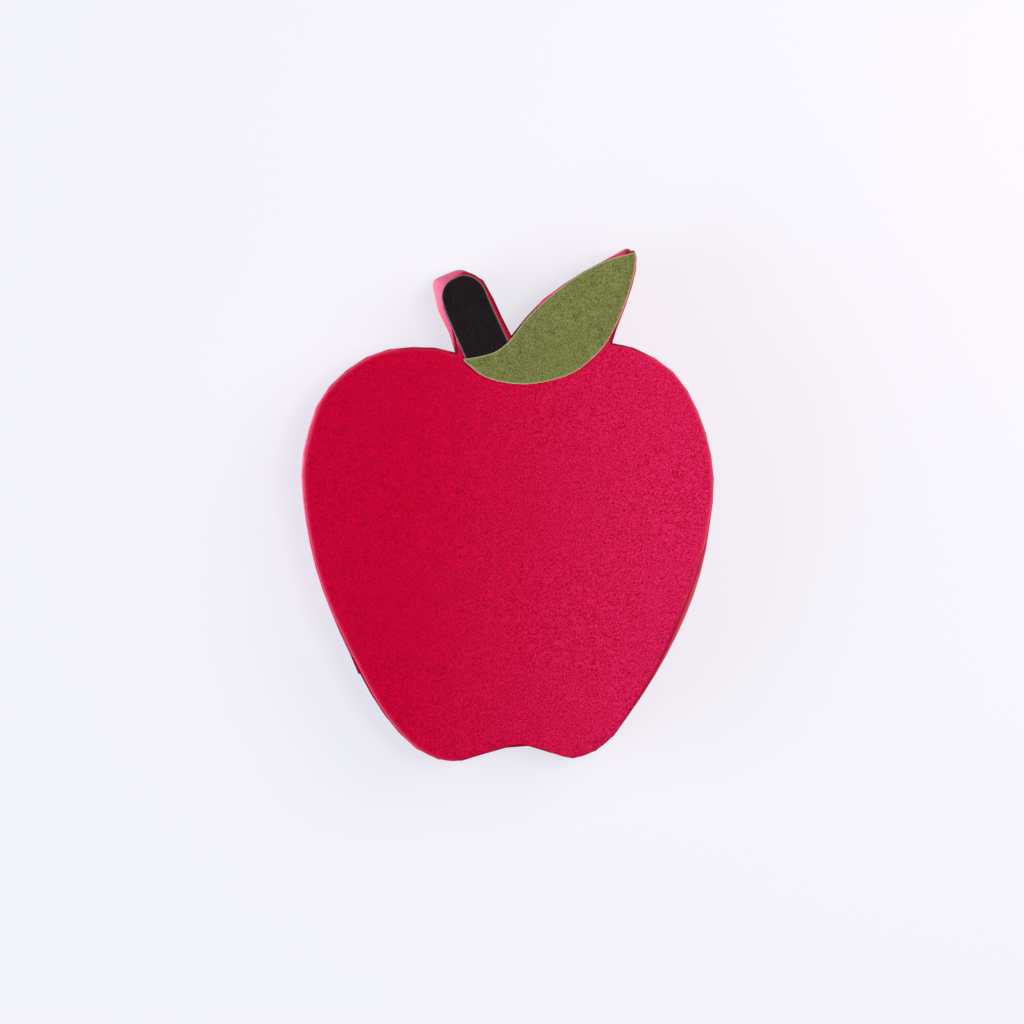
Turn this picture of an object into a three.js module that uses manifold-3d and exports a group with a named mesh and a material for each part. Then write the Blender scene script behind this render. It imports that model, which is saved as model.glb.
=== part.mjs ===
// A gift box of card stock in the outline of an apple, closed, lying on its back.
// Millimetres. +Z is up, out of the front panel; +Y runs from the apple's base to its stem.
// The box is a tray with a lid over it. Each is a flat panel and a wall of two long strips,
// which are scored across every few millimetres and glued to the panel by folded tabs.
import * as THREE from "three";
import { mergeVertices } from "three/addons/utils/BufferGeometryUtils.js";
import Module from "manifold-3d";

// Driving dimensions
const card = 0.4; // thickness of the card
const depth = 25.4; // from the back of the tray to the face of the lid
const lidHeight = 19; // height of the lid's wall
const scoreStep = 6.35; // distance between the score lines
const proud = 0.2; // the lid's wall stands this far outside the cut edge of its panel
const fit = 1.2; // from the outside of the lid's wall to the outside of the tray's wall
const tabDepth = 5; // how far a glue tab reaches in
const tabShare = 0.4; // and at most this share of the way to the wall across from it
const tabTaper = 0.3; // a tab narrows at each end by this share of its depth
const tabGap = 0.3; // from a tab's foot to the score line
const tabTip = 1; // least width of a tab's inner end
const flapGap = 0.1; // between a strip's end and the flap behind it
const flapReach = 1.3; // length of the flap, in steps between score lines
const flapRoot = 0.45; // the flap leaves the strip this far past its start, in steps
const flapClear = 0.05; // and from here on it lies behind the strip before it
const endGap = 0.2; // between the cut ends of the two strips
const panelStep = 2.1; // length of a side of the panel's outline
const overlayStep = 2; // length of a side of the stem's outline
const leafRows = 26;
const leafColumns = 6;
const leafFall = 5; // the leaf comes down onto the panel over this distance from the stem
const leafSpare = 1.2; // and stays up this far past the stem's edge
const airGap = 0.02; // under the leaf where it lies on the stem
const matt = 0.85; // roughness of uncoated card
const mergeWithin = 1e-4; // corners nearer to each other than this are one
const nearlyParallel = 1e-6;

// The front panel's outline, in five stretches that meet at its corners, counter-clockwise.
// Each point is x, y and how far the lid's wall leans out at its rim there.
const bodyEdge = [
  [-13.8, 41.8, 0.4], // foot of the stem
  [-20.3, 43.3, 0.7],
  [-36.3, 41.5, 1.2],
  [-49.8, 30.8, 1.4],
  [-54.5, 18.0, 1.6],
  [-55.8, 8.6, 1.5],
  [-53.8, -9.4, 1.3],
  [-50.2, -22.9, 1.2],
  [-41.2, -42.9, 1.4],
  [-32.5, -57.9, 1.3],
  [-23.2, -67.1, 1.3],
  [-15.0, -69.6, 1.2],
  [-7.3, -67.7, 1.0],
  [-0.6, -65.8, 0.8],
  [3.6, -65.0, 0.5],
  [8.8, -66.1, 0.7],
  [17.9, -68.7, 1.2],
  [26.3, -65.1, 1.1],
  [33.7, -55.7, 1.1],
  [42.1, -41.5, 1.6],
  [48.7, -26.1, 2.2],
  [52.7, -14.8, 1.7],
  [54.8, -6.0, 1.1],
  [56.2, 7.1, 1.0],
  [53.7, 21.1, 1.0],
  [47.1, 34.5, 0.9],
  [41.0, 39.9, 0.9],
  [32.8, 43.8, 0.7],
  [28.2, 44.6, 0.3], // foot of the leaf
];
const leafRightEdge = [
  [28.2, 44.6, 0.3],
  [29.5, 48.2, 0.1],
  [32.8, 56.9, 0.2],
  [35.2, 66.5, 0.6],
  [35.1, 69.0, 0.6],
  [34.5, 69.9, 0.8], // tip of the leaf
  [33.0, 69.6, 2.15], // corner of the wall, just past the tip
];
const leafLeftEdge = [
  [33.0, 69.6, 2.15],
  [27.5, 67.5, 1.0],
  [22.9, 65.2, 0.5],
  [18.3, 62.5, 0.3],
  [8.7, 55.5, 0.3],
  [1.0, 46.4, 0.1], // notch between leaf and stem
];
const stemTopEdge = [
  [1.0, 46.4, 0.1],
  [-2.4, 53.1, 0.1],
  [-5.8, 60.1, 0.6],
  [-9.3, 63.5, 1.3],
  [-12.6, 63.9, 2.0],
  [-15.4, 62.4, 3.2],
  [-17.0, 60.6, 4.3], // corner where the stem's wall leans out most
];
const stemLeftEdge = [
  [-17.0, 60.6, 4.3],
  [-18.1, 57.3, 2.0],
  [-17.4, 54.4, 1.6],
  [-15.6, 49.7, 1.2],
  [-13.9, 45.2, 0.4],
  [-13.8, 41.8, 0.2],
];
const stretches = [bodyEdge, leafRightEdge, leafLeftEdge, stemTopEdge, stemLeftEdge];
const seamShare = 0.365; // the strips' lower seam lies this far along the body's edge

// The black stem overlay: its two sides, and its lower end, which lies under the leaf.
const stemOverlayLeft = [
  [-12.1, 63.3],
  [-15.3, 62.1],
  [-17.3, 60.1],
  [-18.0, 57.5],
  [-17.4, 54.4],
  [-15.5, 49.6],
  [-11.2, 39.8],
];
const stemOverlayRight = [
  [2.2, 41.0],
  [-0.8, 47.3],
  [-5.0, 56.5],
  [-6.7, 60.3],
  [-9.2, 62.6],
  [-12.1, 63.3],
];
// The green leaf overlay: both edges, from the tail that crosses the stem to the tip.
const leafUpperEdge = [
  [-12.0, 40.1],
  [-3.9, 42.0],
  [-0.2, 44.5],
  [6.4, 52.6],
  [18.1, 62.3],
  [27.3, 67.3],
  [34.8, 69.3],
];
const leafLowerEdge = [
  [-12.0, 40.1],
  [-6.8, 35.7],
  [4.3, 33.4],
  [17.0, 36.1],
  [23.0, 40.3],
  [27.2, 45.0],
  [33.1, 58.3],
  [35.0, 66.9],
  [34.8, 69.3],
];

// Heights, from the surface that the box lies on
const face = depth; // face of the lid's panel
const lidFold = depth - card; // top of the lid's wall and tabs
const lidRim = lidFold - lidHeight;
const trayFold = card; // foot of the tray's wall and tabs
const trayRim = lidFold - card; // the lid's tabs rest on it

const colour = {
  crimson: 0xc60b3f,
  black: 0x211c1d,
  olive: 0x777c48,
};
const wasm = await Module();
wasm.setup();

// A point list along the smooth curve through some knots, in equal steps, without the last.
function along(knots, step) {
  const points = knots.map(([x, y, z = 0]) => new THREE.Vector3(x, y, z));
  const curve = new THREE.CatmullRomCurve3(points, false, "centripetal");
  const count = Math.max(1, Math.round(curve.getLength() / step));
  return curve.getSpacedPoints(count).slice(0, -1);
}

// The closed outline as stations: each has its place, its lean, and the vector that moves it
// one unit straight out from both sides that meet there.
function outline(step) {
  const points = stretches.flatMap((knots) => along(knots, step));
  return points.map((p, i) => {
    const before = points.at(i - 1);
    const after = points[(i + 1) % points.length];
    const a = new THREE.Vector2(p.y - before.y, before.x - p.x).normalize();
    const b = new THREE.Vector2(after.y - p.y, p.x - after.x).normalize();
    const out = a.clone().add(b).divideScalar(1 + a.dot(b));
    return { x: p.x, y: p.y, lean: p.z, out };
  });
}

// The station at a fractional index, on the straight side between two stations.
function stationAt(ring, t) {
  const i = Math.floor(t);
  const share = t - i;
  const a = ring.at(i % ring.length);
  const b = ring.at((i + 1) % ring.length);
  const mix = (u, v) => u + (v - u) * share;
  return {
    x: mix(a.x, b.x),
    y: mix(a.y, b.y),
    lean: mix(a.lean, b.lean),
    out: a.out.clone().lerp(b.out, share),
  };
}

// A station moved outwards, in plan.
function moved(station, distance) {
  return new THREE.Vector2(
    station.x + station.out.x * distance,
    station.y + station.out.y * distance,
  );
}

// A closed solid through four-sided cross-sections, with both ends capped.
function loft(sections) {
  const position = sections.flat().flatMap((p) => p.toArray());
  const index = [];
  const quad = (a, b, c, d) => index.push(a, b, c, a, c, d);
  for (let i = 0; i + 1 < sections.length; i++) {
    for (let k = 0; k < 4; k++) {
      const here = 4 * i;
      const next = here + 4;
      quad(here + k, here + ((k + 1) % 4), next + ((k + 1) % 4), next + k);
    }
  }
  const last = 4 * (sections.length - 1);
  quad(3, 2, 1, 0);
  quad(last, last + 1, last + 2, last + 3);
  return facingOut(position, index);
}

// A geometry of positions alone, turned if its faces point in.
function facingOut(position, index) {
  let volume = 0;
  const at = (i) => new THREE.Vector3().fromArray(position, 3 * i);
  for (let i = 0; i < index.length; i += 3) {
    volume += at(index[i]).dot(at(index[i + 1]).cross(at(index[i + 2])));
  }
  if (volume < 0) index.reverse();
  const geometry = new THREE.BufferGeometry();
  geometry.setAttribute("position", new THREE.Float32BufferAttribute(position, 3));
  return geometry.setIndex(index);
}

// A flat plate of card with the given outline, its underside at a height.
function plate(points, height) {
  const shape = new THREE.Shape(points.map((p) => new THREE.Vector2(p.x, p.y)));
  const geometry = new THREE.ExtrudeGeometry(shape, { depth: card, bevelEnabled: false });
  return positionsOnly(geometry.translate(0, 0, height));
}

function positionsOnly(geometry) {
  geometry.deleteAttribute("normal");
  geometry.deleteAttribute("uv");
  return mergeVertices(geometry, mergeWithin);
}

// Several closed geometries joined in one.
function joined(geometries) {
  const solids = geometries.map(
    (g) =>
      new wasm.Manifold(
        new wasm.Mesh({
          numProp: 3,
          vertProperties: g.attributes.position.array,
          triVerts: new Uint32Array(g.index.array),
        }),
      ),
  );
  const mesh = solids.reduce((sum, solid) => sum.add(solid)).getMesh();
  const geometry = new THREE.BufferGeometry();
  geometry.setAttribute("position", new THREE.BufferAttribute(mesh.vertProperties, 3));
  return geometry.setIndex(new THREE.BufferAttribute(mesh.triVerts, 1));
}

// How far it is from a side's middle, straight inwards, to the outline's far side.
function reachInside(ring, i) {
  const a = ring[i];
  const b = ring[(i + 1) % ring.length];
  const middle = new THREE.Vector2((a.x + b.x) / 2, (a.y + b.y) / 2);
  const inward = new THREE.Vector2(a.y - b.y, b.x - a.x).normalize();
  let reach = Infinity;
  ring.forEach((c, k) => {
    if (k === i) return;
    const d = ring[(k + 1) % ring.length];
    const side = new THREE.Vector2(d.x - c.x, d.y - c.y);
    const from = new THREE.Vector2(c.x - middle.x, c.y - middle.y);
    const turn = inward.cross(side);
    if (Math.abs(turn) < nearlyParallel) return;
    const distance = from.cross(side) / turn;
    const share = from.cross(inward) / turn;
    if (distance > card && share >= 0 && share <= 1) reach = Math.min(reach, distance);
  });
  return reach;
}

// How much a tab narrows towards a station, for each millimetre of its depth: half the
// corner's inside angle or the usual taper, whichever takes more.
function taperAt(ring, i) {
  const station = ring[i];
  const before = ring.at(i - 1);
  const after = ring[(i + 1) % ring.length];
  const a = new THREE.Vector2(station.x - before.x, station.y - before.y);
  const b = new THREE.Vector2(after.x - station.x, after.y - station.y);
  const turn = Math.atan2(a.cross(b), a.dot(b));
  return Math.max(tabTaper, Math.tan(turn / 2));
}

// The glue tab of one side of a wall whose outside is moved out by some distance.
function tab(ring, i, outside, height) {
  const next = (i + 1) % ring.length;
  const run = moved(ring[next], outside - card / 2).sub(moved(ring[i], outside - card / 2));
  const foot = run.length() - 2 * tabGap;
  const first = taperAt(ring, i);
  const second = taperAt(ring, next);
  const size = Math.min(
    tabDepth,
    tabShare * reachInside(ring, i),
    (foot - tabTip) / (first + second),
  );
  run.normalize();
  const a = moved(ring[i], outside - card / 2).addScaledVector(run, tabGap);
  const b = a.clone().addScaledVector(run, foot);
  const inward = new THREE.Vector2(-run.y, run.x).multiplyScalar(size);
  const c = b.clone().addScaledVector(run, -second * size).add(inward);
  const d = a.clone().addScaledVector(run, first * size).add(inward);
  return plate([a, b, c, d], height);
}

// A strip of wall from one index to another, with its tabs, and with a glue flap that runs on
// past its start behind the strip before it.
function strip(ring, from, to, wall) {
  const section = (station, outside, low, high) => {
    const lowOut = outside + station.lean * wall.leanShare;
    const corner = (distance, z) => {
      const p = moved(station, distance);
      return new THREE.Vector3(p.x, p.y, z);
    };
    return [
      corner(outside, high),
      corner(outside - card, high),
      corner(lowOut - card, low),
      corner(lowOut, low),
    ];
  };
  const wallSections = [section(stationAt(ring, from), wall.outside, wall.low, wall.high)];
  for (let i = Math.floor(from) + 1; i < to; i++) {
    wallSections.push(section(ring[i % ring.length], wall.outside, wall.low, wall.high));
  }
  const end = stationAt(ring, to - endGap / scoreStep);
  wallSections.push(section(end, wall.outside, wall.low, wall.high));

  const behind = wall.outside - card - flapGap;
  const flapSections = [
    [from + flapRoot, wall.outside - card / 2],
    [from + flapClear, behind],
    [from, behind],
    [from - 1, behind],
    [from - flapReach, behind],
  ].map(([t, outside]) => {
    const station = stationAt(ring, (t + ring.length) % ring.length);
    return section(station, outside, wall.low + 2 * card, wall.high - 2 * card);
  });

  const tabs = [];
  for (let i = from; i < to; i++) {
    tabs.push(tab(ring, i % ring.length, wall.outside, wall.tabHeight));
  }
  return joined([loft(wallSections), loft(flapSections), ...tabs]);
}

// The leaf overlay: a sheet of card between its two edges. It lies on the panel, and is bent up
// over the stem overlay's lower end, from which it comes down again along a smooth step.
function leafSheet(stemPoints) {
  const rowOf = (knots) => {
    const points = knots.map(([x, y]) => new THREE.Vector3(x, y, 0));
    return new THREE.CatmullRomCurve3(points, false, "centripetal").getSpacedPoints(leafRows);
  };
  const upper = rowOf(leafUpperEdge);
  const lower = rowOf(leafLowerEdge);
  const rise = card + airGap;
  const height = (x, y) => {
    const away = distanceOutside(x, y, stemPoints) - leafSpare;
    return face + rise * (1 - THREE.MathUtils.smoothstep(away, 0, leafFall));
  };
  const position = [];
  const index = [];
  const wide = leafColumns + 1;
  for (const thickness of [0, card]) {
    for (let i = 1; i < leafRows; i++) {
      for (let k = 0; k < wide; k++) {
        const p = upper[i].clone().lerp(lower[i], k / leafColumns);
        position.push(p.x, p.y, height(p.x, p.y) + thickness);
      }
    }
  }
  const layer = (leafRows - 1) * wide;
  const tail = 2 * layer;
  const tip = tail + 2;
  for (const p of [upper[0], upper[leafRows]]) {
    const z = height(p.x, p.y);
    position.push(p.x, p.y, z, p.x, p.y, z + card);
  }
  // Each face is split alike below and above, with the two layers turned opposite ways.
  const above = (v) => (v < layer ? v + layer : v + 1);
  const both = (a, b, c) => index.push(a, b, c, above(a), above(c), above(b));
  for (let i = 0; i + 2 < leafRows; i++) {
    for (let k = 0; k < leafColumns; k++) {
      const a = i * wide + k;
      both(a, a + 1, a + wide + 1);
      both(a, a + wide + 1, a + wide);
    }
  }
  const lastRow = (leafRows - 2) * wide;
  for (let k = 0; k < leafColumns; k++) {
    both(tail, k + 1, k);
    both(tip, lastRow + k, lastRow + k + 1);
  }
  // The rim, one quad for each step round the outline of the lower layer
  const round = [tail];
  for (let i = 0; i + 1 < leafRows; i++) round.push(i * wide);
  round.push(tip);
  for (let i = leafRows - 2; i >= 0; i--) round.push(i * wide + leafColumns);
  round.forEach((a, i) => {
    const b = round[(i + 1) % round.length];
    index.push(a, b, above(b), a, above(b), above(a));
  });
  return facingOut(position, index);
}

// Distance from a point to an outline, zero inside it.
function distanceOutside(x, y, points) {
  let inside = false;
  let nearest = Infinity;
  points.forEach((a, i) => {
    const b = points[(i + 1) % points.length];
    const [dx, dy] = [b.x - a.x, b.y - a.y];
    const reached = ((x - a.x) * dx + (y - a.y) * dy) / (dx * dx + dy * dy);
    const share = THREE.MathUtils.clamp(reached, 0, 1);
    nearest = Math.min(nearest, Math.hypot(x - a.x - share * dx, y - a.y - share * dy));
    const crosses = a.y > y !== b.y > y && x < a.x + (dx * (y - a.y)) / dy;
    if (crosses) inside = !inside;
  });
  return inside ? 0 : nearest;
}

const apple = new THREE.Group();

function addPiece(name, geometry, color, roughness) {
  const material = new THREE.MeshStandardMaterial({ color, roughness, metalness: 0 });
  const mesh = new THREE.Mesh(geometry, material);
  mesh.name = name;
  apple.add(mesh);
}

const scored = outline(scoreStep);
const smooth = outline(panelStep);
const bodySides = along(bodyEdge, scoreStep).length;
const seam = Math.round(seamShare * bodySides); // lower left, on the body
const leafFoot = bodySides; // where the body's edge meets the leaf's
const lap = scored.length;

const lid = {
  outside: proud,
  high: lidFold,
  low: lidRim,
  tabHeight: lidFold - card,
  leanShare: 1,
};
const tray = {
  outside: proud - fit,
  high: trayRim,
  low: trayFold,
  tabHeight: trayFold,
  leanShare: 0,
};

addPiece("lid_panel", plate(smooth, lidFold), colour.crimson, matt);
addPiece("lid_wall_right", strip(scored, seam, leafFoot, lid), colour.crimson, matt);
addPiece("lid_wall_left", strip(scored, leafFoot, lap + seam, lid), colour.crimson, matt);

const trayOutline = scored.map((station) => moved(station, tray.outside - proud));
addPiece("tray_panel", plate(trayOutline, 0), colour.crimson, matt);
addPiece("tray_wall_right", strip(scored, seam, leafFoot, tray), colour.crimson, matt);
addPiece("tray_wall_left", strip(scored, leafFoot, lap + seam, tray), colour.crimson, matt);

const stemOutline = [
  ...along(stemOverlayLeft, overlayStep),
  new THREE.Vector3(...stemOverlayLeft.at(-1), 0),
  ...along(stemOverlayRight, overlayStep),
];
addPiece("stem_overlay", plate(stemOutline, face), colour.black, matt);
addPiece("leaf_overlay", leafSheet(stemOutline), colour.olive, matt);

// The origin is under the middle of the whole box.
const middle = new THREE.Box3().setFromObject(apple).getCenter(new THREE.Vector3());
apple.position.set(-middle.x, -middle.y, 0);

export default apple;
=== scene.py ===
import bpy
import numpy as np
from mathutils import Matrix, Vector


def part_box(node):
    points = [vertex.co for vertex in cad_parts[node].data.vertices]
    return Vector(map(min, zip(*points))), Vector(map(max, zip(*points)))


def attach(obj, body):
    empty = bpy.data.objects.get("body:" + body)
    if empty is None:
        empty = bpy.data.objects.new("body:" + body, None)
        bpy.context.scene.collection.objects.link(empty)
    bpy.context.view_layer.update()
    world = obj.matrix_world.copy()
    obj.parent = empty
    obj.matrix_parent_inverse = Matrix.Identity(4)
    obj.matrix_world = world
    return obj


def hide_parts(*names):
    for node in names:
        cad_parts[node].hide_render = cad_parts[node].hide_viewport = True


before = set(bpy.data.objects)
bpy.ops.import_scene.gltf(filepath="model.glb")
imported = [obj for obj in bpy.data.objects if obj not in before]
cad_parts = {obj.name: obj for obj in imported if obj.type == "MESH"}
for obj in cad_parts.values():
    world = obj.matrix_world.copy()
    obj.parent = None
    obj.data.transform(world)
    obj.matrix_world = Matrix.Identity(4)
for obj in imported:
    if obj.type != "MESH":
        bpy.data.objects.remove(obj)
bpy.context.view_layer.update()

mm = 0.001


def boxMm(node):
    # the two corners of a node's box in the frame, in mm
    low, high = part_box(node)
    return np.array(low) / mm, np.array(high) / mm


faceZ = boxMm("lid_panel")[1][2]  # face of the front panel
foldZ = boxMm("lid_panel")[0][2]  # top of the lid's wall
rimZ = boxMm("lid_wall_left")[0][2]
thick = faceZ - foldZ  # of the card
trayTopZ = boxMm("tray_wall_left")[1][2]

# Reading outlines from the frame

# A point from which each outline is in sight all round, so that angle puts it in order.
sightFrom = {
    "lid_panel": (-2.0, 20.0),
    "stem_overlay": (-7.0, 52.0),
    "leaf_overlay": (4.0, 38.0),
}
reading = {
    "same": 0.05,  # mm, points closer than this are one corner
    "level": 0.01,  # mm, points this near a height lie at it
    "upright": 0.2,  # the most that an upright face's normal rises
    "block": 4000,  # points whose distances are worked out at a time
}


def nodeTriangles(node):
    # corners (triangle, corner, xyz) in mm, and each triangle's unit normal
    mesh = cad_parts[node].data
    mesh.calc_loop_triangles()
    place = np.empty(3 * len(mesh.vertices), dtype=np.float32)
    mesh.vertices.foreach_get("co", place)
    index = np.empty(3 * len(mesh.loop_triangles), dtype=np.int32)
    mesh.loop_triangles.foreach_get("vertices", index)
    corners = place.reshape(-1, 3)[index.reshape(-1, 3)].astype(float) / mm
    normal = np.cross(corners[:, 1] - corners[:, 0], corners[:, 2] - corners[:, 0])
    return corners, normal / np.maximum(np.linalg.norm(normal, axis=1, keepdims=True), 1e-12)


def inOrder(points, middle):
    # the points once each, counter-clockwise about the middle, starting after the widest gap
    points = np.unique(np.round(points, 3), axis=0)
    angle = np.arctan2(points[:, 1] - middle[1], points[:, 0] - middle[0])
    order = np.argsort(angle)
    points, angle = points[order], angle[order]
    far = np.linalg.norm(points - np.roll(points, 1, axis=0), axis=1) > reading["same"]
    points, angle = points[far], angle[far]
    gap = np.diff(np.append(angle, angle[0] + 2 * np.pi))
    return np.roll(points, -1 - int(gap.argmax()), axis=0)


def edgeOf(node, middle):
    # a plate's outline: the corners of its upright faces, seen from above
    corners, normal = nodeTriangles(node)
    upright = np.abs(normal[:, 2]) < reading["upright"]
    return inOrder(corners[upright].reshape(-1, 3)[:, :2], middle)


def levelOf(nodes, z):
    # the corners of some nodes that lie at one height, once each and seen from above
    corners = np.concatenate([nodeTriangles(node)[0].reshape(-1, 3) for node in nodes])
    flat = corners[np.abs(corners[:, 2] - z) < reading["level"]][:, :2]
    return np.unique(np.round(flat, 3), axis=0)


# Lines and distances in the plane

def crossOf(u, v):
    # the cross product of vectors in the plane: positive where v lies left of u
    return u[..., 0] * v[..., 1] - u[..., 1] * v[..., 0]


def turnAt(points):
    # the angle by which a closed line turns at each of its points, left positive
    ahead = np.roll(points, -1, axis=0) - points
    behind = np.roll(ahead, 1, axis=0)
    return np.arctan2(crossOf(behind, ahead), (behind * ahead).sum(axis=1))


def smoothLoop(points, steps, sharpFrom=35):
    # cubic Hermite curve through a closed line, with the slope at a point taken from both its
    # neighbours, except at an inward corner sharper than sharpFrom degrees
    ahead = np.roll(points, -1, axis=0) - points
    span = np.linalg.norm(ahead, axis=1, keepdims=True)
    unit = ahead / span
    unitBefore, spanBefore = np.roll(unit, 1, axis=0), np.roll(span, 1, axis=0)
    slope = (unitBefore * span + unit * spanBefore) / (span + spanBefore)
    sharp = (turnAt(points) < -np.radians(sharpFrom))[:, None]
    leave = np.where(sharp, unit, slope) * span
    arrive = np.roll(np.where(sharp, unitBefore, slope), -1, axis=0) * span
    t = (np.arange(steps) / steps)[None, :, None]
    start, end = points[:, None], np.roll(points, -1, axis=0)[:, None]
    curve = ((2 * t**3 - 3 * t**2 + 1) * start + (t**3 - 2 * t**2 + t) * leave[:, None]
             + (3 * t**2 - 2 * t**3) * end + (t**3 - t**2) * arrive[:, None])
    return curve.reshape(-1, 2)


def inBlocks(measure, points):
    # a measure of each point, worked out for a few thousand points at a time to save memory
    flat = points.reshape(-1, 2)
    blocks = np.array_split(flat, max(1, len(flat) // reading["block"]))
    return np.concatenate([measure(block) for block in blocks]).reshape(points.shape[:-1])


def distanceTo(points, loop):
    # distance from each point to the nearest side of a closed line
    a, b = loop, np.roll(loop, -1, axis=0)
    side = b - a
    size = (side**2).sum(axis=1)

    def nearest(block):
        offset = block[:, None] - a
        share = np.clip((offset * side).sum(axis=2) / size, 0, 1)
        return np.linalg.norm(offset - share[..., None] * side, axis=2).min(axis=1)

    return inBlocks(nearest, points)


def isInside(points, loop):
    # a point is inside if a line to its right crosses the closed line an odd number of times
    a, b = loop, np.roll(loop, -1, axis=0)

    def oddCrossings(block):
        x, y = block[:, :1], block[:, 1:]
        spans = (a[:, 1] > y) != (b[:, 1] > y)
        rise = np.where(b[:, 1] == a[:, 1], 1, b[:, 1] - a[:, 1])
        crossX = a[:, 0] + (b[:, 0] - a[:, 0]) * (y - a[:, 1]) / rise
        return (spans & (x < crossX)).sum(axis=1) % 2 == 1

    return inBlocks(oddCrossings, points)


def smoothStep(x):
    # 0 up to 0, 1 from 1, and three squares less two cubes between
    x = np.clip(x, 0, 1)
    return x * x * (3 - 2 * x)


# Materials

def toLinear(colour):
    # an sRGB hex value as linear red, green, blue and alpha
    channels = np.array([int(colour[i:i + 2], 16) for i in (1, 3, 5)]) / 255
    linear = np.where(channels <= 0.04045, channels / 12.92, ((channels + 0.055) / 1.055) ** 2.4)
    return (*linear.tolist(), 1.0)


def addNode(tree, kind, values=None, **settings):
    # a node with its settings, and its inputs set to a number or linked to another's output
    node = tree.nodes.new(kind)
    for key, value in settings.items():
        setattr(node, key, value)
    for key, value in (values or {}).items():
        if isinstance(value, bpy.types.NodeSocket):
            tree.links.new(value, node.inputs[key])
        else:
            node.inputs[key].default_value = value
    return node


# Uncoated card stock, dyed in the pulp: the face is dull, with short matted fibres that show
# as a fine mottle. Real fibres are thinner than a pixel, so they are drawn about 0.3 mm wide.
fibre = {
    "width": 0.26,  # mm
    "length": 0.62,  # mm
    "relief": 0.05,  # mm, height of the nap
    "cloud": 2.2,  # mm, size of the soft blotches
    "angles": (20, 80, 140),  # degrees, the ways in which the fibres lie
}


def cardStock(name, look):
    # the fibres are stretched noises added up. With soft blotches they mix the dark colour with
    # the light one, and a painted highlight with some wear, and painted shade, are coloured over
    # that.
    material = bpy.data.materials.new(name)
    material.use_nodes = True
    tree = material.node_tree
    tree.nodes.clear()
    place = addNode(tree, "ShaderNodeTexCoord").outputs["Object"]
    width, length = fibre["width"] * look["grain"] * mm, fibre["length"] * look["grain"] * mm
    height = None
    for angle in fibre["angles"]:
        turned = addNode(tree, "ShaderNodeMapping", {
            "Vector": place,
            "Rotation": (0, 0, np.radians(angle)),
            "Scale": (width, length, width),
        }, vector_type="TEXTURE")
        strand = addNode(tree, "ShaderNodeTexNoise", {
            "Vector": turned.outputs[0], "Scale": 1.0, "Detail": 1.5, "Roughness": 0.6,
            "Distortion": 0.6,
        }).outputs["Fac"]
        if height is None:
            height = strand
        else:
            height = addNode(tree, "ShaderNodeMath", {0: height, 1: strand},
                             operation="ADD").outputs[0]
    cloud = addNode(tree, "ShaderNodeTexNoise", {
        "Vector": place, "Scale": 1 / (fibre["cloud"] * mm), "Detail": 2.0, "Roughness": 0.5,
    }).outputs["Fac"]
    both = addNode(tree, "ShaderNodeMath", {
        0: addNode(tree, "ShaderNodeMath", {0: cloud, 1: look["cloudShare"]},
                   operation="MULTIPLY").outputs[0],
        1: height,
    }, operation="ADD").outputs[0]
    # a noise is a half on the average
    centre = 0.5 * (len(fibre["angles"]) + look["cloudShare"])
    tone = addNode(tree, "ShaderNodeMapRange", {
        "Value": both, "From Min": centre - look["spread"], "From Max": centre + look["spread"],
    }).outputs[0]
    # The Mix node has sockets for each kind of value: 6 and 7 are its two colours
    colour = addNode(tree, "ShaderNodeMix", {
        0: tone, 6: toLinear(look["dark"]), 7: toLinear(look["light"]),
    }, data_type="RGBA").outputs[2]
    if "fleck" in look:
        # painted sheen: the fibres' ends are drawn paler, more and more along one way, towards
        # the warm lamp's glare
        along = addNode(tree, "ShaderNodeVectorMath", {0: place, 1: look["fleckWay"]},
                        operation="DOT_PRODUCT").outputs["Value"]
        sheenRamp = addNode(tree, "ShaderNodeMapRange", {
            "Value": along, "From Min": look["fleckFrom"] * mm, "From Max": look["fleckTo"] * mm,
            "To Max": look["fleckShare"],
        }, interpolation_type="SMOOTHSTEP").outputs[0]
        end = addNode(tree, "ShaderNodeMapRange", {
            "Value": height, "From Min": centre - look["fleckBelow"],
            "From Max": centre + look["fleckAbove"],
        }).outputs[0]
        colour = addNode(tree, "ShaderNodeMix", {
            0: addNode(tree, "ShaderNodeMath", {0: sheenRamp, 1: end},
                       operation="MULTIPLY").outputs[0],
            6: colour, 7: toLinear(look["fleck"]),
        }, data_type="RGBA").outputs[2]
    # over the card's colour: the painted highlight, with some wear, and then the painted shade
    for mark in ("wearAndHighlight", "paintedShade"):
        share = addNode(tree, "ShaderNodeAttribute", attribute_name=mark).outputs["Fac"]
        colour = addNode(tree, "ShaderNodeMix", {
            0: share, 6: colour, 7: toLinear(look[mark]),
        }, data_type="RGBA").outputs[2]
    bump = addNode(tree, "ShaderNodeBump", {
        "Height": height, "Strength": look["bump"], "Distance": fibre["relief"] * mm,
    })
    shader = addNode(tree, "ShaderNodeBsdfPrincipled", {
        "Base Color": colour,
        "Normal": bump.outputs[0],
        "Roughness": look["roughness"],
        "IOR": 1.5,
        "Specular IOR Level": look["specular"],
        "Sheen Weight": look["sheen"],
        "Sheen Roughness": 0.4,
    })
    addNode(tree, "ShaderNodeOutputMaterial", {"Surface": shader.outputs[0]})
    return material


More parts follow.
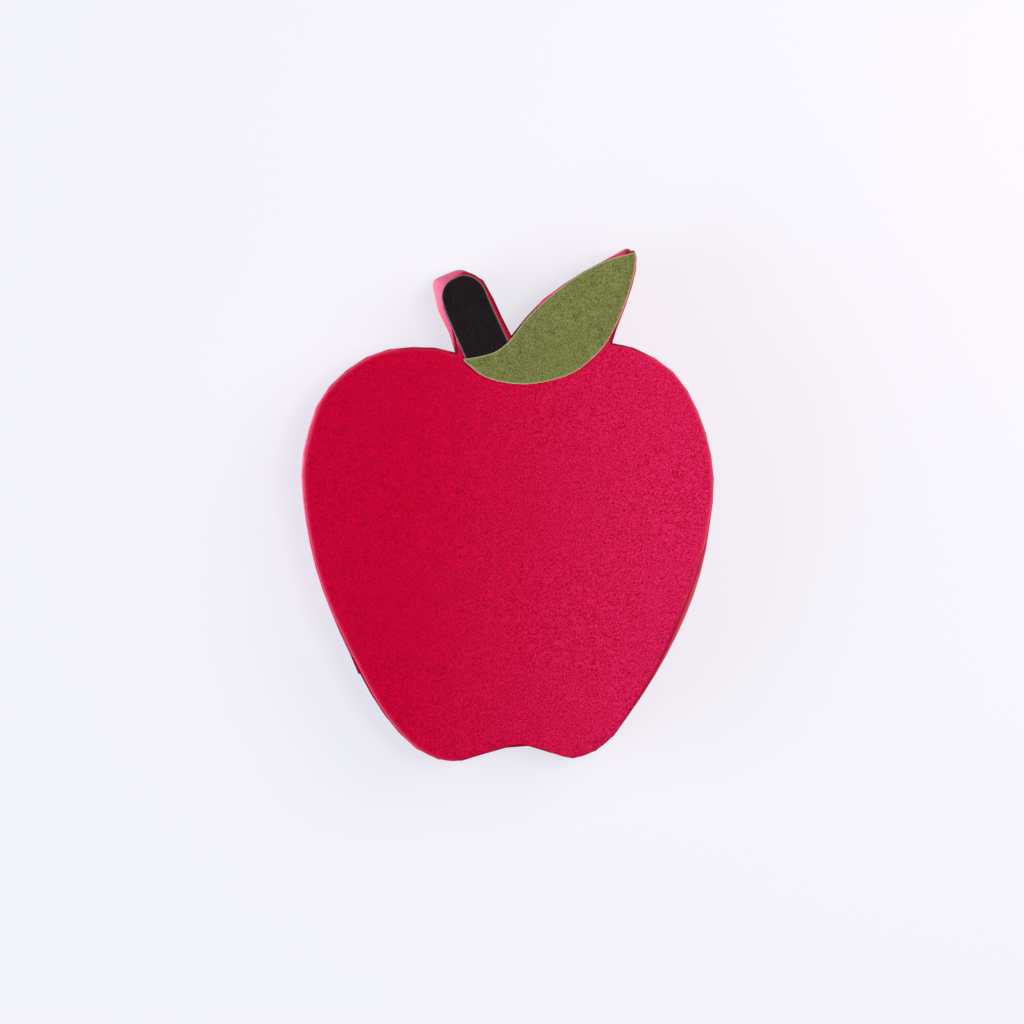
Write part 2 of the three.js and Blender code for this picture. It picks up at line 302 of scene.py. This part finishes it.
# In each look, grain is the size of the fibres against those above, cloudShare is how strong the
# blotches are, and spread is how far from their average the fibres are fully dark or light.
crimsonLook = {
    "dark": "#960022", "light": "#C80039",
    "wearAndHighlight": "#E65278",  # painted highlight along the cut edge and the rolled rim beside it, with some wear
    "paintedShade": "#60041A",  # painted shade: darker in the notch, on the shoulders and along the joints
    "fleck": "#E23A84", "fleckShare": 0.5,  # painted sheen on the fibres' ends
    "fleckWay": (1, -0.1, 0), "fleckFrom": -32, "fleckTo": 60,  # mm
    "fleckBelow": 0.34, "fleckAbove": 0.15,  # from the fibres' average to no and to full painted sheen
    "grain": 0.9, "cloudShare": 0.3, "spread": 0.28, "bump": 1.8,
    "roughness": 0.32, "specular": 0.018, "sheen": 0.0,
}
# Both wall strips are drawn paler than the panel's card, as painted sheen of a wall seen edge-on,
# and the left one paler and pinker still, as painted light from the window on the left.
# In both, the palest colour, toward the rim, is painted sheen with some wear, and the darkest is
# painted shade.
rightStripSheenLook = {
    "dark": "#C01A42", "light": "#E03658", "wearAndHighlight": "#F4929C", "paintedShade": "#86082A",
    "grain": 1.0, "cloudShare": 0.5, "spread": 0.5, "bump": 0.5,
    "roughness": 0.6, "specular": 0.0, "sheen": 0.0,
}
leftStripLitLook = {
    "dark": "#E0567A", "light": "#F4728E", "wearAndHighlight": "#FFB0BC", "paintedShade": "#86082A",
    "grain": 1.0, "cloudShare": 0.5, "spread": 0.5, "bump": 0.5,
    "roughness": 0.6, "specular": 0.0, "sheen": 0.0,
}
blackLook = {
    "dark": "#040203", "light": "#1E171A",
    "wearAndHighlight": "#88929C",  # grey core of the card at its cut edge
    "paintedShade": "#050304",
    "grain": 0.9, "cloudShare": 0.5, "spread": 0.42, "bump": 0.7,
    "roughness": 0.8, "specular": 0.1, "sheen": 0.01,
}
oliveLook = {
    "dark": "#3A4320", "light": "#828A50",
    "wearAndHighlight": "#B4B88C",  # pale core of the card at its cut edge
    "paintedShade": "#3C4520",
    "grain": 0.7, "cloudShare": 0.4, "spread": 0.35, "bump": 0.7,
    "roughness": 0.8, "specular": 0.05, "sheen": 0.01,
}
crimsonCard = cardStock("crimson card stock", crimsonLook)
rightStripSheenCard = cardStock("crimson card stock, right strip, painted sheen", rightStripSheenLook)
leftStripLitCard = cardStock("crimson card stock, left strip", leftStripLitLook)
blackCard = cardStock("black card stock", blackLook)
oliveCard = cardStock("olive card stock", oliveLook)
print("materials made")

# Putting arrays into meshes

def makePiece(name, points, marks, faces, material, replaced, sharpAngle=35):
    # a mesh from points in mm and faces, with how much painted highlight and wear, and how much
    # painted shade, each point has
    mesh = bpy.data.meshes.new(name)
    mesh.from_pydata((points * mm).tolist(), [], faces)
    for mark, share in zip(("wearAndHighlight", "paintedShade"), marks):
        mesh.attributes.new(mark, "FLOAT", "POINT").data.foreach_set("value", share)
    mesh.polygons.foreach_set("use_smooth", [True] * len(mesh.polygons))
    mesh.set_sharp_from_angle(angle=np.radians(sharpAngle))
    mesh.materials.append(material)
    mesh.update()
    piece = bpy.data.objects.new(name, mesh)
    bpy.context.scene.collection.objects.link(piece)
    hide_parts(replaced)
    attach(piece, "root")
    return piece


def gridFaces(rows, columns, closeRows, closeColumns, first=0):
    # quads of a grid of points numbered row by row, wound so that row x column faces out
    r = np.arange(rows if closeRows else rows - 1)
    c = np.arange(columns if closeColumns else columns - 1)
    here, right = r[:, None] * columns, c[None]
    up, nextC = ((r + 1) % rows)[:, None] * columns, ((c + 1) % columns)[None]
    quads = np.stack([here + right, here + nextC, up + nextC, up + right], axis=-1)
    return (quads.reshape(-1, 4) + first).tolist()


def shellFaces(rows, columns):
    # a grid closed round its columns, with a pole before its first row and one after its last
    faces = gridFaces(rows, columns, False, True)
    c = np.arange(columns)
    after = (c + 1) % columns
    last = (rows - 1) * columns
    start, end = rows * columns, rows * columns + 1
    faces += np.stack([np.full(columns, start), after, c], axis=1).tolist()
    faces += np.stack([np.full(columns, end), last + c, last + after], axis=1).tolist()
    return faces


spotCore = 0.6  # share of a spot's reach within which it has its full strength


def spotShare(points, spots):
    # each spot is x, y and reach in mm, and its strength, which is full within the core and
    # falls smoothly to nothing at the reach
    share = np.zeros(len(points))
    for x, y, reach, strength in spots:
        away = np.hypot(points[:, 0] - x, points[:, 1] - y) / reach
        share = np.maximum(share, strength * (1 - smoothStep((away - spotCore) / (1 - spotCore))))
    return share


cardEdge = {
    "rows": (0.05, 0.5, 0.9),  # rows of points down the cut edge, as shares of its height
    "nearShare": 0.75,  # how much of the wear and painted highlight lies within its width
    "farther": 3,  # how many times as far the rest reaches
}


def sheetPiece(name, edge, middle, sheet, heightOf, material, replaced):
    # A flat sheet of card. Each point lies on a ray from the middle to the edge, at a share of
    # the way: rings close together by the edge, then even steps. The underside is one
    # thickness below, and the top turns down to the cut edge in a quarter-round.
    reach = np.linalg.norm(edge - middle, axis=1)
    near = np.array(sheet["rings"])[:, None] / reach
    even = np.linspace(0, 1, sheet["steps"] + 1)[1:-1, None]
    share = np.concatenate([near, near[-1] + (1 - near[-1]) * even])
    rings = edge + (middle - edge) * share[..., None]
    away = distanceTo(rings, edge)
    radius = sheet["round"]
    drop = radius - np.sqrt(radius**2 - np.clip(radius - away, 0, radius)**2)
    height = heightOf(rings)
    top = np.concatenate([rings, (height - drop)[..., None]], axis=2)
    under = np.concatenate([rings, (height - thick)[..., None]], axis=2)
    edgeTop = heightOf(edge)
    down = radius + np.array(cardEdge["rows"])[:, None] * (thick - radius)
    cut = np.concatenate([np.broadcast_to(edge, (len(down), *edge.shape)),
                          (edgeTop - down)[..., None]], axis=2)
    rows = np.concatenate([top[::-1], cut, under])
    # how much painted highlight and wear, and how much painted shade, each point has: fully at
    # the cut edge, and less and less further in
    inWidths = away / sheet["wearAndHighlightWidth"]
    wearAndHighlightTop = (cardEdge["nearShare"] * (1 - smoothStep(inWidths))
               + (1 - cardEdge["nearShare"]) * (1 - smoothStep(inWidths / cardEdge["farther"])))
    edgeShadeTop = 1 - smoothStep(away / sheet["shadeWidth"])
    rest = [np.ones(cut.shape[:2]), np.zeros(under.shape[:2])]
    wearAndHighlight, edgeShade = [
        np.append(np.concatenate([share[::-1], *rest]), [0, 0]) for share in (wearAndHighlightTop, edgeShadeTop)
    ]
    place = np.vstack([rows[..., :2].reshape(-1, 2), [middle] * 2])
    # painted shade lies along the edge where the spots reach, and the painted highlight is taken
    # off there and round the base
    paintedShade = edgeShade * spotShare(place, sheet["spots"])
    wearAndHighlight = wearAndHighlight * (1 - paintedShade) * (1 - spotShare(place, sheet["unhighlighted"]))
    poleTop = [*middle, float(heightOf(np.array([middle]))[0])]
    poleUnder = [poleTop[0], poleTop[1], poleTop[2] - thick]
    points = np.concatenate([rows.reshape(-1, 3), [poleTop, poleUnder]])
    faces = [face[::-1] for face in shellFaces(len(rows), len(edge))]
    return makePiece(name, points, (wearAndHighlight, paintedShade), faces, material, replaced)


# Front panel

# Painted shade darkens the card along the stem's right side, on both sides of the notch, and at
# the stem's left foot and the leaf's foot and tip.
notchShadeSpots = ((-8.6, 62.4, 5, 0.8), (-6.0, 58.9, 6.5, 0.8), (-4.0, 55.0, 7.5, 1.0),
              (-1.8, 50.6, 7.5, 1.0), (1.2, 45.5, 7, 1.0), (5.0, 50.2, 6, 0.8),
              (28.2, 44.0, 5, 0.9), (-13.8, 40.6, 3, 0.8), (34.2, 68.8, 2.6, 0.8))
frontPanel = {
    "rings": (0.015, 0.06, 0.14, 0.3, 0.6, 1.0, 1.5, 2.2, 3.2, 4.5),  # mm in from the edge
    "steps": 16,
    "round": 0.2,  # mm, radius of the pressed edge
    "wearAndHighlightWidth": 0.4,  # mm
    "shadeWidth": 0.85,  # mm
    # painted shade besides: thinly along the edge at the lower right, and on both shoulders
    "spots": notchShadeSpots + (
        (38, -48, 12, 0.25), (45, -36, 14, 0.4), (50, -24, 13, 0.4),
        (-22.5, 42, 9, 0.6), (32, 43, 8, 0.65),
    ),
    "unhighlighted": ((14, -66, 40, 1), (36, -46, 24, 1)),  # where the painted highlight and wear are left off the edge: round the base
    "curl": 0.28,  # mm by which the cut edge is drawn down
    "curlWidth": 2.4,  # mm
    "wave": 0.07,  # mm, slow unevenness of the hand-glued face
    "waveLength": (83, 61),  # mm, from side to side and from base to stem
    "waveStart": 0.6,  # radians
}
panelMiddle = np.array(sightFrom["lid_panel"])
panelEdgeCoarse = edgeOf("lid_panel", panelMiddle)
panelEdge = smoothLoop(panelEdgeCoarse, 4)


def faceHeight(points):
    # the face is drawn down by its cut edge: it rises by the curl times one minus the square of
    # what is left of the curl's width, and by a slow sine wave times a slow cosine wave
    inwards = distanceTo(points, panelEdgeCoarse)
    left = np.clip(1 - inwards / frontPanel["curlWidth"], 0, 1)
    x, y = points[..., 0], points[..., 1]
    lengthX, lengthY = frontPanel["waveLength"]
    wave = (np.sin(2 * np.pi * x / lengthX + frontPanel["waveStart"])
            * np.cos(2 * np.pi * y / lengthY))
    rise = frontPanel["curl"] * (1 - left**2) + frontPanel["wave"] * wave * (1 - left)
    return faceZ + rise


sheetPiece("frontPanel", panelEdge, panelMiddle, frontPanel, faceHeight,
           crimsonCard, "lid_panel")
print("front panel made")

# Stem overlay

stemOverlay = {"rings": (0.015, 0.06, 0.14, 0.3, 0.6, 1.0, 1.5), "steps": 6,
               "round": 0.12, "wearAndHighlightWidth": 0.15, "shadeWidth": 0.2,
               "spots": (), "unhighlighted": ()}
stemMiddle = np.array(sightFrom["stem_overlay"])
stemEdgeCoarse = edgeOf("stem_overlay", stemMiddle)
stemEdge = smoothLoop(stemEdgeCoarse, 4)


def stemHeight(points):
    # one card above the front panel's face
    return faceHeight(points) + thick


sheetPiece("stemOverlay", stemEdge, stemMiddle, stemOverlay, stemHeight,
           blackCard, "stem_overlay")

# Leaf overlay

leafOverlay = {
    "rings": (0.015, 0.06, 0.14, 0.3, 0.6, 1.0, 1.5, 2.2),
    "steps": 30,
    "round": 0.12,
    "wearAndHighlightWidth": 0.2,
    "shadeWidth": 0.2,
    "spots": (),
    "unhighlighted": (),
    "spare": 1.2,  # mm past the stem overlay's edge before the leaf comes down
    "fall": 5.0,  # mm over which it comes down to the panel
    "lift": 1.05,  # cards by which it lies higher over the stem overlay
}
leafMiddle = np.array(sightFrom["leaf_overlay"])
leafEdge = smoothLoop(edgeOf("leaf_overlay", leafMiddle), 5)


def leafHeight(points):
    # the leaf lies on the panel, and a smooth step lifts it over the stem overlay
    away = np.where(isInside(points, stemEdgeCoarse), 0, distanceTo(points, stemEdgeCoarse))
    lift = 1 - smoothStep((away - leafOverlay["spare"]) / leafOverlay["fall"])
    return faceHeight(points) + thick * (1 + leafOverlay["lift"] * lift)


sheetPiece("leafOverlay", leafEdge, leafMiddle, leafOverlay, leafHeight,
           oliveCard, "leaf_overlay")
print("overlays made")

# Wall strips

# The lid's and the tray's walls: one scored strip each side. The lid's wall leans out at its rim.
wall = {
    "sideSteps": 6,  # points along the flat between two score lines
    "bendSteps": 3,  # points round a bend, between the flats beside it
    "bend": 0.55,  # mm from a score line to where its bend starts
    "sharpBend": 0.16,  # mm, at an inward corner, which is folded hard
    "roundBend": 2.2,  # mm, round the stem's top and the leaf's tip, where the card is rolled
    "bendShare": 0.3,  # the most of a side that a bend takes up
    "sharpFrom": 40,  # degrees
    "foldRadius": 0.38,  # mm, where the wall turns into its tabs
    "foldTurns": (0, 22, 45, 68, 90),  # degrees, rows of points round that fold
    "underFold": 0.03,  # mm from the fold to the first row inside
    # rows of points on the wall, as shares of the way from fold to rim
    "rowsOutside": (0.985, 0.93, 0.85, 0.72, 0.58, 0.44, 0.3, 0.18, 0.08),
    "rowsInside": (0.3, 0.65, 0.985),
    "rimBevel": 0.06,  # mm
    "proud": 0.2,  # mm by which the tray's wall stands outside its panel's edge
    "leastProud": 0.05,  # mm, the same for the lid's wall, at the least
    "rimAside": 0.3,  # mm, how far beside a fold's outward line its rim corner may lie
    "rimIn": 1.0,  # mm, how far in from the fold it may lie
    "rimOut": 8.0,  # mm, how far out
    "endLift": 0.4,  # mm by which the lid strips' cut ends have sprung out at the rim
    "foldShadeDepth": 0.9,  # mm, how far down from the fold the card is painted darker: painted shade under the panel's edge
    # painted shade down the whole strip, at the notch and round the lower seam
    "spots": notchShadeSpots + ((-44.5, -38, 8, 0.8), (-39, -48.5, 11, 1), (-31.5, -60, 10, 0.9)),
    "rimWearAndSheen": 0.32,  # how much paler the rim is drawn: some wear, and painted sheen of the wall seen edge-on
    "endGap": 0.2,  # mm between two strips' ends
    "flapGap": 0.1,  # mm between the glue flap and the strip that it is glued behind
    "flapShort": 2,  # cards by which the flap stops short of the fold and of the rim
    "flapRoot": 0.45,  # share of the strip's first side at which the flap starts, inside it
    "flapStep": 0.05,  # share of that side at which it has stepped in
    "flapEnd": 0.3,  # share of the second side of the strip before, at which it ends
    "flapBend": 0.1,  # mm
    "tabRoot": 0.95,  # cards from the wall's outside to where the tabs start
    "tabDepth": 5.0,  # mm
    "tabShare": 0.4,  # the most of the way to the wall across from it that a tab takes up
    "tabTaper": 0.3,  # mm by which a tab narrows at each end, for each mm of depth
    "tabGap": 0.3,  # mm from a tab's end to the score line
    "tabTip": 1.0,  # mm, least width of a tab's inner edge
}


def acrossAt(points):
    # at each point of a closed line, the vector that moves it one unit out from both sides
    ahead = np.roll(points, -1, axis=0) - points
    ahead /= np.linalg.norm(ahead, axis=1, keepdims=True)
    after = np.stack([ahead[:, 1], -ahead[:, 0]], axis=1)
    before = np.roll(after, 1, axis=0)
    return (after + before) / (1 + (after * before).sum(axis=1, keepdims=True))


def signedDistance(points):
    # distance outside the panel's edge, negative within
    away = distanceTo(points, panelEdgeCoarse)
    return np.where(isInside(points, panelEdgeCoarse), -away, away)


def leanOf(folds, across, rimPoints):
    # how far the rim stands out from each fold: the rim's corners lie along the fold's own
    # outward direction, and the farthest of them is on the outside
    size = np.linalg.norm(across, axis=1, keepdims=True)
    unit = across / size
    offset = rimPoints[None] - folds[:, None]
    along = (offset * unit[:, None]).sum(axis=2)
    aside = np.abs(crossOf(offset, unit[:, None]))
    near = (aside < wall["rimAside"]) & (along > -wall["rimIn"]) & (along < wall["rimOut"])
    return unit * np.where(near, along, 0).max(axis=1, keepdims=True)


def bentLine(points, bend):
    # a line with a small bend at each inner point: straight sides, joined by quadratic curves
    # that start and end `bend` mm from the point
    side = np.diff(points, axis=0)
    length = np.linalg.norm(side, axis=1)
    bend = np.minimum(bend, wall["bendShare"] * np.append(length, length[-1]))
    bend[1:] = np.minimum(bend[1:], wall["bendShare"] * length)
    bend[0] = bend[-1] = 0
    start, end = bend[:-1] / length, 1 - bend[1:] / length
    share = start[:, None] + (end - start)[:, None] * np.linspace(0, 1, wall["sideSteps"])
    straight = points[:-1, None] + side[:, None] * share[..., None]
    t = np.linspace(0, 1, wall["bendSteps"] + 2)[None, 1:-1, None]
    curved = ((1 - t) ** 2 * straight[:-1, -1:] + 2 * t * (1 - t) * points[1:-1, None]
              + t**2 * straight[1:, :1])
    joined = np.concatenate([straight[:-1], curved], axis=1).reshape(-1, 2)
    return np.concatenate([joined, straight[-1]])


def wallSection(fold, rim):
    # one strip's cross-section as inset from its outside, height and share of the lean: up the
    # outside from the rim, round the fold, and down the inside
    way = np.sign(fold - rim)
    outside = fold + (rim - fold) * np.array(wall["rowsOutside"])
    inside = fold + (rim - fold) * np.array(wall["rowsInside"])
    turn = np.radians(wall["foldTurns"])
    radius, bevel = wall["foldRadius"], wall["rimBevel"]
    inset = np.concatenate([[bevel], np.zeros(len(outside)), radius * (1 - np.cos(turn)),
                            [thick], np.full(len(inside), thick), [thick - bevel]])
    height = np.concatenate([[rim], outside, fold - way * radius * (1 - np.sin(turn)),
                             [fold - way * wall["underFold"]], inside, [rim]])
    return inset, height, np.clip((fold - height) / (fold - rim), 0, 1)


def stripTube(folds, across, lean, bend, section, behind):
    # the cross-section carried along the bent line of folds: each of its points has its own
    # line, moved in by its inset and by how far behind the wall's outside each fold lies, and
    # out by its share of the lean
    rows = []
    for inset, z, share in zip(*section):
        line = bentLine(folds - across * (inset + behind)[:, None] + lean * share, bend)
        rows.append(np.column_stack([line, np.full(len(line), z)]))
    return np.stack(rows)


def tubeFaces(rows, columns, first):
    # a closed cross-section carried along, with both ends closed flat
    faces = gridFaces(rows, columns, True, False, first)
    start = first + np.arange(rows) * columns
    return faces + [start[::-1].tolist(), (start + columns - 1).tolist()]


boxFaces = np.array([[3, 2, 1, 0], [4, 5, 6, 7], [0, 1, 5, 4],
                     [1, 2, 6, 5], [2, 3, 7, 6], [3, 0, 4, 7]])


def tabBoxes(folds, steps, z):
    # one folded tab for each side: it tapers to its inner end, more by a sharp corner, and is
    # no deeper than its share of the way to the wall across from it
    after = np.roll(folds, -1, axis=0)
    turn = np.tan(turnAt(folds) / 2)
    first = np.maximum(wall["tabTaper"], turn)
    second = np.roll(first, -1)
    side = after - folds
    run = side / np.linalg.norm(side, axis=1, keepdims=True)
    inward = np.stack([-run[:, 1], run[:, 0]], axis=1)
    centre = folds + side / 2
    # crossing of the ray inwards from each side's centre with every other side
    offset = folds[None] - centre[:, None]
    turned = crossOf(inward[:, None], side[None])
    parallel = 1e-6  # stands in for nothing, so that a side along the ray divides
    turned = np.where(np.abs(turned) < parallel, parallel, turned)
    distance = crossOf(offset, side[None]) / turned
    share = crossOf(offset, inward[:, None]) / turned
    hit = (distance > thick) & (share >= 0) & (share <= 1)
    reach = np.where(hit, distance, np.inf).min(axis=1)
    foot = np.linalg.norm(side, axis=1) - 2 * wall["tabGap"]
    size = np.minimum(wall["tabDepth"], wall["tabShare"] * reach)
    size = np.minimum(size, (foot - wall["tabTip"]) / (first + second))[:, None]
    start = folds + inward * thick * wall["tabRoot"] + run * wall["tabGap"]
    a, b = start, start + run * foot[:, None]
    c = b - run * second[:, None] * size + inward * size
    d = a + run * first[:, None] * size + inward * size
    plan = np.stack([a, b, c, d], axis=1)[steps]
    low = np.concatenate([plan, np.full((*plan.shape[:2], 1), z)], axis=2)
    points = np.stack([low, low + [0, 0, thick]], axis=1).reshape(-1, 3)
    corners = plan.shape[1] * 2
    faces = (boxFaces + corners * np.arange(len(steps))[:, None, None]).reshape(-1, 4)
    return points, faces


def between(values, route):
    # at each step of a route, a value that lies a share of the way from one fold's to another's
    first, second, share = zip(*route)
    first, second = list(first), list(second)
    return values[first] + (values[second] - values[first]) * np.array(share)[:, None]


def stripPiece(name, ring, start, end, heights, lift, material, replaced):
    # heights are those of the fold, of the rim and of the tabs' undersides
    folds, across, lean = ring
    count = len(folds)
    steps = np.arange(start, end + 1) % count
    turned = np.degrees(turnAt(folds))
    bend = np.where(turned < -wall["sharpFrom"], wall["sharpBend"], wall["bend"])
    bend = np.where(turned > wall["sharpFrom"], wall["roundBend"], bend)
    section = wallSection(*heights[:2])
    part, partAcross, partLean = folds[steps], across[steps], lean[steps]
    back = part[-2] - part[-1]
    part[-1] += back / np.linalg.norm(back) * wall["endGap"]
    partLean[-1] += partAcross[-1] * lift
    points = stripTube(part, partAcross, partLean, bend[steps], section, np.zeros(len(part)))
    faces = tubeFaces(*points.shape[:2], 0)
    blocks = [points.reshape(-1, 3)]

    # The glue flap runs on past the strip's start, behind the strip before it
    here, after, before, beyond = [(start + step) % count for step in (0, 1, -1, -2)]
    route = (
        (here, after, wall["flapRoot"]), (here, after, wall["flapStep"]), (here, here, 0),
        (before, before, 0), (before, beyond, wall["flapEnd"]),
    )
    flap = [between(values, route) for values in ring]
    glued = thick + wall["flapGap"]
    behind = np.array([thick / 2, glued, glued, glued, glued])
    short = np.sign(heights[0] - heights[1]) * wall["flapShort"] * thick
    flapSection = wallSection(heights[0] - short, heights[1] + short)
    flapBend = np.array([0, wall["flapBend"], wall["flapBend"], wall["bend"], 0])
    points = stripTube(*flap, flapBend, flapSection, behind)[:, ::-1]
    faces += tubeFaces(*points.shape[:2], sum(map(len, blocks)))
    blocks.append(points.reshape(-1, 3))

    points, boxes = tabBoxes(folds, steps[:-1], heights[2])
    faces += (boxes + sum(map(len, blocks))).tolist()
    blocks.append(points)
    faces = [face[::-1] for face in faces]
    points = np.concatenate(blocks)
    # painted shade darkens the card at the fold and at the spots, and the rim is drawn palest, as
    # wear and painted sheen
    below = np.abs(points[:, 2] - heights[0])
    paintedShade = np.maximum(1 - smoothStep(below / wall["foldShadeDepth"]),
                         spotShare(points[:, :2], wall["spots"]))
    wearAndHighlight = wall["rimWearAndSheen"] * smoothStep(below / np.ptp(heights[:2]))
    return makePiece(name, points, (wearAndHighlight, paintedShade), faces, material, replaced)


def wallPieces(names, nodes, folds, lean, ownFolds, heights, lift):
    # both strips of a wall; each runs counter-clockwise from its flap to its cut end, which are
    # at the first and last of its own folds
    ring = folds, acrossAt(folds), lean
    for name, node, own, card in zip(names, nodes, ownFolds, (leftStripLitCard, rightStripSheenCard)):
        start, end = np.linalg.norm(folds[:, None] - own[[0, -1]], axis=2).argmin(axis=0)
        end += len(folds) if end < start else 0
        stripPiece(name, ring, start, end, heights, lift, card, node)


def lidFolds(nodes):
    # the outside corners of the score lines, the only points at that height that lie more than
    # the least distance outside the front panel's edge
    level = levelOf(nodes, foldZ)
    return inOrder(level[signedDistance(level) > wall["leastProud"]], panelMiddle)


lidNodes = ["lid_wall_left", "lid_wall_right"]
folds = lidFolds(lidNodes)
# where two strips' ends meet, only one of their two corners is a fold
ahead = np.linalg.norm(np.roll(folds, -1, axis=0) - folds, axis=1)
folds = folds[ahead > 2 * wall["endGap"]]
lean = leanOf(folds, acrossAt(folds), levelOf(lidNodes, rimZ))
wallPieces(("lidWallLeft", "lidWallRight"), lidNodes, folds, lean,
           [lidFolds([node]) for node in lidNodes], (foldZ, rimZ, foldZ - thick), wall["endLift"])
print("lid wall made,", len(folds), "score lines")

# The tray's wall stands upright, a little outside its panel's edge
backEdgeCoarse = edgeOf("tray_panel", panelMiddle)
folds = backEdgeCoarse + acrossAt(backEdgeCoarse) * wall["proud"]
trayNodes = ["tray_wall_left", "tray_wall_right"]
wallPieces(("trayWallLeft", "trayWallRight"), trayNodes, folds, np.zeros_like(folds),
           [inOrder(levelOf([node], trayTopZ), panelMiddle) for node in trayNodes],
           (thick, trayTopZ, thick), 0)
print("tray wall made,", len(folds), "score lines")

# Back panel, which the box lies on

backPanel = {"rings": (0.015, 0.06, 0.14, 0.3, 0.8, 2.0), "steps": 10,
             "round": 0.12, "wearAndHighlightWidth": 0.3, "shadeWidth": 0.2,
             "spots": (), "unhighlighted": ()}
backEdge = smoothLoop(backEdgeCoarse, 10)


def backHeight(points):
    # the panel lies flat on the floor, so its inner face is one card up
    return np.full(points.shape[:-1], thick)


sheetPiece("backPanel", backEdge, panelMiddle, backPanel, backHeight,
           crimsonCard, "tray_panel")
print("back panel made")

# Floor

# A plain pale sheet that is lit from behind as well, so it glows
floorLook = {"size": 3.0, "colour": "#808080", "roughness": 0.6, "specular": 0.1,
             "glow": 0.71, "glowColour": "#F3F5FF"}
floorMesh = bpy.data.meshes.new("floor")
half = floorLook["size"] / 2
floorMesh.from_pydata([(-half, -half, 0), (half, -half, 0), (half, half, 0), (-half, half, 0)],
                      [], [(0, 1, 2, 3)])
floor = bpy.data.objects.new("floor", floorMesh)
bpy.context.scene.collection.objects.link(floor)
floorMaterial = bpy.data.materials.new("pale matt floor")
floorMaterial.use_nodes = True
floorShader = floorMaterial.node_tree.nodes["Principled BSDF"]
floorShader.inputs["Base Color"].default_value = toLinear(floorLook["colour"])
floorShader.inputs["Roughness"].default_value = floorLook["roughness"]
floorShader.inputs["Specular IOR Level"].default_value = floorLook["specular"]
floorShader.inputs["Emission Color"].default_value = toLinear(floorLook["glowColour"])
floorShader.inputs["Emission Strength"].default_value = floorLook["glow"]
floorMesh.materials.append(floorMaterial)

# Camera, straight above, with the apple's stem to the top of the picture

camera = {
    "lens": 135,  # mm
    "sensor": 36,  # mm
    "pictureWidth": 279.8,  # mm of the front panel's plane from side to side
    "middle": (1.27, -2.38),  # mm, the point under the lens
}
cameraData = bpy.data.cameras.new("camera")
cameraData.lens = camera["lens"]
cameraData.sensor_width = camera["sensor"]
cameraObject = bpy.data.objects.new("camera", cameraData)
bpy.context.scene.collection.objects.link(cameraObject)
cameraHeight = faceZ + camera["pictureWidth"] * camera["lens"] / camera["sensor"]
cameraObject.location = (camera["middle"][0] * mm, camera["middle"][1] * mm, cameraHeight * mm)
bpy.context.scene.camera = cameraObject

# Light: a cool window on the left, a warm bounce on the right, and a dim room above

def addLamp(name, lamp):
    # a rectangular lamp, turned to face its aim; places and sizes are in metres
    data = bpy.data.lights.new(name, "AREA")
    data.shape = "RECTANGLE"
    data.size, data.size_y = lamp["size"]
    data.energy = lamp["watts"]
    data.color = toLinear(lamp["colour"])[:3]
    light = bpy.data.objects.new(name, data)
    light.location = lamp["place"]
    towards = np.array(lamp["aim"]) - np.array(lamp["place"])
    light.rotation_euler = Vector(towards).to_track_quat("-Z", "Y").to_euler()
    bpy.context.scene.collection.objects.link(light)


lamps = {
    "softAbove": {"place": (0.3, 0.05, 1.2), "aim": (0, 0, 0), "size": (0.25, 0.25),
                  "watts": 5.0, "colour": "#FFFFFF"},
    "windowLeft": {"place": (-1.1, -0.3, 0.45), "aim": (0, 0, 0), "size": (1.1, 0.9),
                   "watts": 17.0, "colour": "#ECEEFF"},
    "bounceRight": {"place": (0.3, 0.16, 0.37), "aim": (0, 0, 0), "size": (0.35, 0.3),
                    "watts": 1.6, "colour": "#FFE4D6"},
}
for lampName, lamp in lamps.items():
    addLamp(lampName, lamp)
room = {"colour": "#F4F3F8", "strength": 0.3}
world = bpy.data.worlds.new("room")
world.use_nodes = True
roomShader = world.node_tree.nodes["Background"]
roomShader.inputs["Color"].default_value = toLinear(room["colour"])
roomShader.inputs["Strength"].default_value = room["strength"]
bpy.context.scene.world = world
bpy.context.scene.view_settings.view_transform = "Standard"
print("stage, camera and light set")
